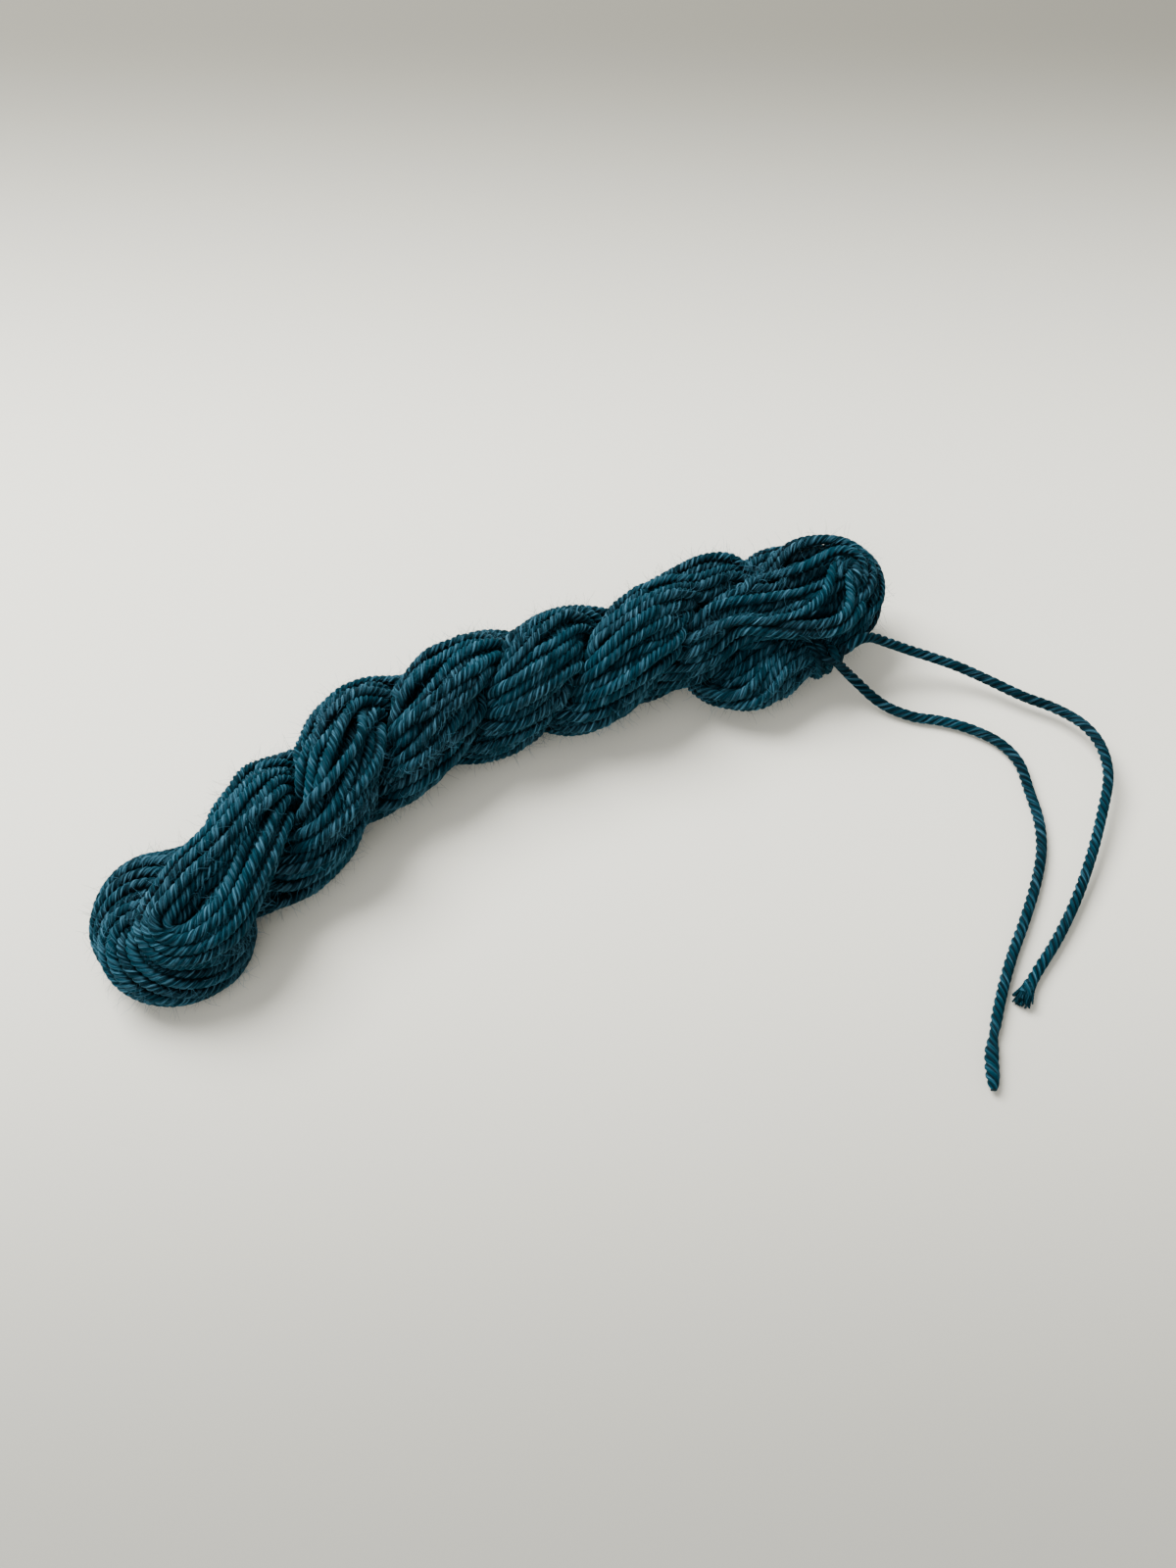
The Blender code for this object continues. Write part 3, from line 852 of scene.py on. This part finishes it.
def add_turns(lines, parts, half):
    """Adds one closed run of strands, cut now and then in a strand that lies under others."""
    points = np.concatenate([p[0] for p in parts])
    thick = np.concatenate([p[1] for p in parts]) * half
    along = np.arange(len(thick)) * STATION
    slow = 0.07 * np.sin(along * 0.113 + len(lines.points))
    quick = 0.06 * np.sin(along * 0.37) * np.cos(along * 0.071)
    thick *= 1.0 + slow + quick
    cuts = []
    start = 0
    for part in parts:
        place = start + len(part[0]) // 4
        if part[2] and (not cuts or place - cuts[-1] > CUT_AFTER):
            cuts.append(place)
        start += len(part[0])
    if not cuts:
        lines.add(points, thick, True)
        return
    shift = cuts[0]
    points = np.roll(points, -shift, axis=0)
    thick = np.roll(thick, -shift)
    marks = [c - shift for c in cuts] + [len(points)]
    for a, b in zip(marks, marks[1:], strict=False):
        lines.add(points[a:b], thick[a:b], False)


def neighbours(points, reach):
    """Index pairs of points closer than about reach, from a grid of cells."""
    cell = np.floor((points - points.min(axis=0)) / reach).astype(np.int64) + 1
    size = cell.max(axis=0) + 2
    key = (cell[:, 0] * size[1] + cell[:, 1]) * size[2] + cell[:, 2]
    order = np.argsort(key, kind="stable")
    ordered = key[order]
    firsts = []
    seconds = []
    steps = [
        (dx, dy, dz) for dx in (-1, 0, 1) for dy in (-1, 0, 1) for dz in (-1, 0, 1) if (dx, dy, dz) >= (0, 0, 0)
    ]
    for dx, dy, dz in steps:
        other = key + (dx * size[1] + dy) * size[2] + dz
        low = np.searchsorted(ordered, other, side="left")
        high = np.searchsorted(ordered, other, side="right")
        count = high - low
        first = np.repeat(np.arange(len(points)), count)
        offset = np.arange(len(first)) - np.repeat(np.cumsum(count) - count, count)
        second = order[np.repeat(low, count) + offset]
        if (dx, dy, dz) == (0, 0, 0):
            keep = first < second
            first, second = first[keep], second[keep]
        near = np.sum((points[first] - points[second]) ** 2, axis=1) < reach * reach
        firsts.append(first[near])
        seconds.append(second[near])
    return np.concatenate(firsts), np.concatenate(seconds)


def shared_out(first, second, pull, total):
    """Sums what each pair gives its first point and takes from its second."""
    sums = [np.bincount(first, pull[:, c], total) - np.bincount(second, pull[:, c], total) for c in range(3)]
    return np.stack(sums, axis=1)


def settle(lines, sizes):
    """Moves the strands apart until they only touch, and keeps them smooth and over the table."""
    counts = [len(p) for p in lines.points]
    points = np.concatenate(lines.points)
    thick = np.concatenate(lines.thick)
    total = len(points)
    number = np.arange(total)
    line = np.repeat(np.arange(len(counts)), counts)
    before = number - 1
    after = number + 1
    free = np.ones(total, bool)
    start = 0
    for count, closed in zip(counts, lines.closed, strict=True):
        last = start + count - 1
        if closed:
            before[start] = last
            after[last] = start
        else:
            before[start] = start
            after[last] = last
            free[[start, last]] = False
        start += count
    for _ in range(2):
        middle = 0.5 * (points[before] + points[after])
        points = np.where(free[:, None], 0.5 * points + 0.5 * middle, points)
    home = points.copy()
    contact = sizes.press * thick
    for step in range(sizes.settle_steps):
        if step % 4 == 0:
            first, second = neighbours(points, TOUCH_REACH)
            apart = (line[first] != line[second]) | (np.abs(first - second) > 4)
            first, second = first[apart], second[apart]
            touch = contact[first] + contact[second]
        away = points[first] - points[second]
        distance = np.linalg.norm(away, axis=1) + 1e-9
        push = np.where(distance < touch, (touch - distance) / distance * 0.22, 0.0)[:, None] * away
        points = points + shared_out(first, second, push, total)
        middle = 0.5 * (points[before] + points[after])
        points = np.where(free[:, None], points + 0.07 * (middle - points), points)
        points += 0.05 * (home - points)
        points[:, 2] = np.maximum(points[:, 2], thick)
    first, second = neighbours(points, OPEN_REACH)
    away = points[first] - points[second]
    away /= (np.linalg.norm(away, axis=1) + 1e-9)[:, None]
    around = np.bincount(first, minlength=total) + np.bincount(second, minlength=total)
    side = shared_out(first, second, away, total) / np.maximum(around, 1)[:, None]
    start = 0
    for i, count in enumerate(counts):
        lines.points[i] = points[start : start + count]
        lines.open[i] = side[start : start + count]
        start += count


def line_mesh(name, lines, chosen):
    """The chosen strands as one mesh of edges, placed in the frame."""
    points = []
    edges = []
    thick = []
    side = []
    strand = []
    for i in chosen:
        start = len(points)
        count = len(lines.points[i])
        points.extend(((lines.points[i] - ORIGIN) * MM).tolist())
        edges.extend((start + k, start + k + 1) for k in range(count - 1))
        if lines.closed[i]:
            edges.append((start + count - 1, start))
        thick.extend(lines.thick[i] * MM)
        side.extend(lines.open[i])
        strand.extend([float(i)] * count)
    mesh = bpy.data.meshes.new(name)
    mesh.from_pydata(points, edges, [])
    for label, values in (("thick", thick), ("strand", strand)):
        attribute = mesh.attributes.new(label, "FLOAT", "POINT")
        attribute.data.foreach_set("value", np.array(values, np.float32))
    attribute = mesh.attributes.new("open_side", "FLOAT_VECTOR", "POINT")
    attribute.data.foreach_set("vector", np.array(side, np.float32).ravel())
    return mesh


def plied_piece(name, lines, chosen, material, pitch=None):
    """One piece of plied yarn along the chosen lines."""
    sizes = bpy.context.scene.skein_sizes
    holder = bpy.data.objects.new(name + "_lines", line_mesh(name, lines, chosen))
    bpy.context.scene.collection.objects.link(holder)
    tree = bpy.data.node_groups.get("plied yarn") or plied_tree()
    mesh = grown_mesh(holder, tree, {
        "Pitch": pitch or sizes.pitch,
        "Plies": sizes.plies,
        "Groove": sizes.groove,
        "Step": sizes.ring_step,
        "Material": material,
    })
    bpy.data.objects.remove(holder, do_unlink=True)
    return new_piece(name, mesh)


def hairs_on(name, yarn, density, length, seed, material):
    """Loose fibres on a piece of yarn, as a piece of their own."""
    tree = bpy.data.node_groups.get("loose fibres") or hair_tree()
    mesh = grown_mesh(yarn, tree, {"Density": density, "Length": length, "Seed": seed, "Material": material})
    for attribute in list(mesh.attributes):
        if attribute.name in ("along", "around", "groove", "open_side", "thick", "strand"):
            mesh.attributes.remove(attribute)
    return new_piece(name, mesh)


def material_named(name, *rest):
    return bpy.data.materials.get(name) or wool_material(name, bpy.context.scene.skein_colours, *rest)


# ---------------------------------------------------------------------------------------------
# Operators
# ---------------------------------------------------------------------------------------------


class SKEIN_OT_stage(bpy.types.Operator):
    """Add the camera, the table top and the soft lights."""

    bl_idname = "skein.stage"
    bl_label = "Stage"

    def execute(self, context):
        stage = context.scene.skein_stage
        colours = context.scene.skein_colours
        aim = Vector(stage.aim)
        level = math.cos(stage.elevation)
        back = Vector((math.sin(stage.azimuth) * level, -math.cos(stage.azimuth) * level, math.sin(stage.elevation)))
        camera = bpy.data.objects.new("camera", bpy.data.cameras.new("camera"))
        camera.data.lens = stage.lens
        camera.data.sensor_width = 36.0
        camera.location = aim + stage.distance * back
        camera.rotation_euler = (math.pi / 2 - stage.elevation, 0.0, stage.azimuth)
        context.scene.collection.objects.link(camera)
        context.scene.camera = camera
        self.table_top(context, colours)
        self.light(context, "window", WINDOW_PLACE, stage.key_power, aim)
        self.light(context, "fill", FILL_PLACE, stage.fill_power, aim)
        world = bpy.data.worlds.new("room")
        context.scene.world = world
        world.use_nodes = True
        world.node_tree.nodes.clear()
        graph = Graph(world.node_tree)
        room = graph.node("ShaderNodeBackground", None, {"Color": ROOM_COLOUR, "Strength": stage.sky})
        graph.feed(graph.node("ShaderNodeOutputWorld").inputs[0], room.outputs[0])
        return {"FINISHED"}

    def light(self, context, name, at, power, aim):
        lamp = bpy.data.lights.new(name, "AREA")
        lamp.shape = "RECTANGLE"
        lamp.size = lamp.size_y = LAMP_SIDE
        lamp.energy = power
        item = bpy.data.objects.new(name, lamp)
        item.location = at
        item.rotation_euler = (aim - Vector(at)).to_track_quat("-Z", "Y").to_euler()
        context.scene.collection.objects.link(item)

    def table_top(self, context, colours):
        material = bpy.data.materials.new("table top")
        material.use_nodes = True
        material.node_tree.nodes.clear()
        graph = Graph(material.node_tree)
        place = graph.node("ShaderNodeSeparateXYZ", None, {0: graph.node("ShaderNodeTexCoord").outputs["Object"]})
        # Painted shade: the table top is darkened towards the near edge and towards the far side
        depth = graph.value(place, 0) * 0.477 + graph.value(place, 1) * 0.879
        near = graph.between(depth, -0.125, 0.0)
        far = graph.between(depth, 0.05, 0.21)
        nearest_shaded = [c * TABLE_NEAR_SHADE_SHARE for c in colours.table[:3]] + [1.0]
        colour = graph.mixed(near, nearest_shaded, colours.table)
        colour = graph.mixed(far, colour, TABLE_FAR_SHADE_COLOUR)
        shader = graph.node("ShaderNodeBsdfPrincipled", None, {
            "Base Color": colour, "Roughness": 0.7, "Specular IOR Level": 0.2,
        })
        graph.feed(graph.node("ShaderNodeOutputMaterial").inputs[0], shader.outputs[0])
        mesh = bpy.data.meshes.new("table_top")
        turns = ((-1, -1), (1, -1), (1, 1), (-1, 1))
        corners = [(x * TABLE_SIDE, y * TABLE_SIDE, -TABLE_DROP) for x, y in turns]
        mesh.from_pydata(corners, [], [(0, 1, 2, 3)])
        mesh.materials.append(material)
        item = bpy.data.objects.new("table_top", mesh)
        context.scene.collection.objects.link(item)


class SKEIN_OT_tie_ends(bpy.types.Operator):
    """Add the tie's two free ends, each from the knot to its cut tip."""

    bl_idname = "skein.tie_ends"
    bl_label = "Tie ends"

    def execute(self, context):
        sizes = context.scene.skein_sizes
        material = material_named("tie wool", 0.48, 0.72, 0.05, 1.0)
        for name, route, pinched in (("tie_end_far", FAR_END_ROUTE, False), ("tie_end_near", NEAR_END_ROUTE, True)):
            rows = even_rows(smooth_rows(route, 8), STATION)
            lines = Lines()
            left = STATION * np.arange(len(rows))[::-1]
            lines.add(rows, 500.0 * sizes.yarn * (self.pinched(left) if pinched else self.flared(left)), False)
            yarn = plied_piece(name + "_yarn", lines, [0], material, sizes.tie_pitch)
            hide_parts(name)
            parts = [] if pinched else [self.tuft(rows, material)]
        return {"FINISHED"}

    def pinched(self, left):
        """Share of the yarn's thickness: nipped, then fuller, and rounded at the cut."""
        fuller = 0.2 * (left < 7.0) - 0.22 * np.exp(-((left - 8.5) ** 2))
        return 1.0 + (fuller - 0.6 * np.clip(1.0 - left / 2.6, 0.0, 1.0) ** 2)

    def flared(self, left):
        """Share of the yarn's thickness: it opens towards the cut."""
        return 1.0 + 0.3 * np.clip(1.0 - left / 3.6, 0.0, 1.0)

    def tuft(self, rows, material):
        """The plies come apart where the far end was cut."""
        sizes = bpy.context.scene.skein_sizes
        rng = np.random.default_rng(sizes.seed + 50)
        way = rows[-1] - rows[-3]
        way /= np.linalg.norm(way)
        up = np.array((0.0, 0.0, 1.0))
        side = np.cross(up, way)
        side /= np.linalg.norm(side)
        lines = Lines()
        t = np.linspace(0.0, 1.0, 6)[:, None]
        for k in range(TUFT_THREADS):
            reach, turn = math.sqrt((k + 0.5) / TUFT_THREADS), 2.4 * k
            swing, rise = reach * math.cos(turn), reach * math.sin(turn)
            length = rng.uniform(3.1, 3.9) - 0.5 * reach
            spread = (0.8 + 0.7 * t**1.5) * swing * side + (0.75 + 0.1 * t) * rise * up
            spread = spread + 0.2 * t * rng.uniform(-1.0, 1.0) * side
            points = rows[-1] + (t * length - 1.9) * way + spread
            thick = rng.uniform(0.17, 0.25) * (1.0 - 0.3 * t[:, 0] ** 3)
            points[:, 2] = np.maximum(points[:, 2], thick)
            lines.add(points, thick, False)
        return plied_piece("tie_far_tuft", lines, range(len(lines.points)), material, 0.002)


class SKEIN_OT_tie_knot(bpy.types.Operator):
    """Add the tie's wrap round the pinched limb and its knot."""

    bl_idname = "skein.tie_knot"
    bl_label = "Tie wrap and knot"

    def execute(self, context):
        sizes = context.scene.skein_sizes
        half = 500.0 * sizes.yarn
        pinch = Vector(FOLD_ROWS[PINCH_ROW][:3])
        way = (Vector(FOLD_ROWS[PINCH_ROW + 1][:3]) - Vector(FOLD_ROWS[PINCH_ROW - 1][:3])).normalized()
        side = Vector((0, 0, 1)).cross(way).normalized()
        up = way.cross(side)
        knot = pinch + Vector(KNOT_OFFSET)
        lines = Lines()
        for shift, lean in ((-0.75, 0.25), (0.75, -0.2)):
            loop = []
            for a in (2.0 * math.pi * k / 20 for k in range(20)):
                out = (half + WRAP_RADIUS) * (math.cos(a) * side + math.sin(a) * up)
                loop.append(pinch + out + (shift + lean * math.sin(a)) * way)
            lines.add(loop, np.full(20, 0.8 * half), True)
        far = (Vector(FAR_END_ROUTE[0]) - knot).normalized()
        near = (Vector(NEAR_END_ROUTE[0]) - knot).normalized()
        for axis, radius, offset in ((far, 1.15, 0.5), (near, 1.2, 0.6), ((far - near).normalized(), 1.3, -0.3)):
            first = axis.orthogonal().normalized()
            second = axis.cross(first)
            loop = [
                knot + offset * axis + radius * (math.cos(a) * first + math.sin(a) * second)
                for a in (2.0 * math.pi * k / 14 for k in range(14))
            ]
            lines.add(loop, np.full(14, 0.82 * half), True)
        for route in (FAR_END_ROUTE, NEAR_END_ROUTE):
            start = Vector(route[0])
            onward = (Vector(route[1]) - start).normalized()
            stub = [knot, knot.lerp(start, 0.5), start, start + 0.4 * onward]
            lines.add(stub, np.full(4, 0.97 * half), False)
        # Short open sides make the wool material paint shade over the whole knot
        for k, points in enumerate(lines.points):
            lines.open[k] = (points - np.array(knot)) * 0.2
        # A darker copy of the tie's wool: painted shade on the knot
        material = material_named("knot wool", 0.3, 1.0, 0.6, 0.6)
        knotted = plied_piece("tie_knot", lines, range(len(lines.points)), material)
        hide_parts("tie_band")
        return {"FINISHED"}


class SKEIN_OT_strands(bpy.types.Operator):
    """Lay out the hank's strands, settle them and spin their plies."""

    bl_idname = "skein.strands"
    bl_label = "Strands"

    def execute(self, context):
        sizes = context.scene.skein_sizes
        lines = lay_out_hank(sizes)
        settle(lines, sizes)
        lengths = [float(np.sum(np.linalg.norm(np.diff(p, axis=0), axis=1))) for p in lines.points]
        if max(lengths) > PIECE_LENGTH:
            raise RuntimeError(f"a strand of {max(lengths):.0f} mm is too long for one piece")
        groups = []
        for i in sorted(range(len(lengths)), key=lambda k: -lengths[k]):
            for group in groups:
                if sum(lengths[k] for k in group) + lengths[i] <= PIECE_LENGTH:
                    group.append(i)
                    break
            else:
                groups.append([i])
        material = material_named("skein wool", 0.75, 0.75, 0.93, 0.6)
        for number, group in enumerate(groups, 1):
            piece = plied_piece(f"hank_strands_{number}", lines, sorted(group), material)
            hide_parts("skein")
        return {"FINISHED"}


class SKEIN_OT_hairs(bpy.types.Operator):
    """Scatter loose fibres over the yarn."""

    bl_idname = "skein.hairs"
    bl_label = "Loose fibres"

    def execute(self, context):
        sizes = context.scene.skein_sizes
        material = material_named("loose fibre", 1.0, 0.0, 0.0, 0.0, True)
        yarns = [o for o in context.scene.objects if o.name.startswith("hank_strands_")]
        for number, yarn in enumerate(sorted(yarns, key=lambda o: o.name), 1):
            hairs_on(
                f"hank_hairs_{number}", yarn, sizes.hairs, sizes.hair_length, sizes.seed + number,
                material,
            )
        return {"FINISHED"}


class SKEIN_PT_panel(bpy.types.Panel):
    """Sizes, colours and the steps that build the skein."""

    bl_label = "Skein"
    bl_idname = "SKEIN_PT_panel"
    bl_space_type = "VIEW_3D"
    bl_region_type = "UI"
    bl_category = "Skein"

    def draw(self, context):
        layout = self.layout
        for group in (context.scene.skein_sizes, context.scene.skein_colours, context.scene.skein_stage):
            box = layout.box()
            for name in group.__annotations__:
                box.prop(group, name)
        for operator in STEPS:
            layout.operator(operator.bl_idname)


STEPS = (SKEIN_OT_stage, SKEIN_OT_tie_ends, SKEIN_OT_tie_knot, SKEIN_OT_strands, SKEIN_OT_hairs)
CLASSES = (SkeinSizes, SkeinColours, SkeinStage, *STEPS, SKEIN_PT_panel)


def register():
    for item in CLASSES:
        bpy.utils.register_class(item)
    bpy.types.Scene.skein_sizes = bpy.props.PointerProperty(type=SkeinSizes)
    bpy.types.Scene.skein_colours = bpy.props.PointerProperty(type=SkeinColours)
    bpy.types.Scene.skein_stage = bpy.props.PointerProperty(type=SkeinStage)


def unregister():
    del bpy.types.Scene.skein_stage
    del bpy.types.Scene.skein_colours
    del bpy.types.Scene.skein_sizes
    for item in reversed(CLASSES):
        bpy.utils.unregister_class(item)


def main():
    register()
    bpy.ops.skein.stage()
    bpy.ops.skein.tie_ends()
    bpy.ops.skein.tie_knot()
    bpy.ops.skein.strands()
    bpy.ops.skein.hairs()


if __name__ == "__main__":
    main()
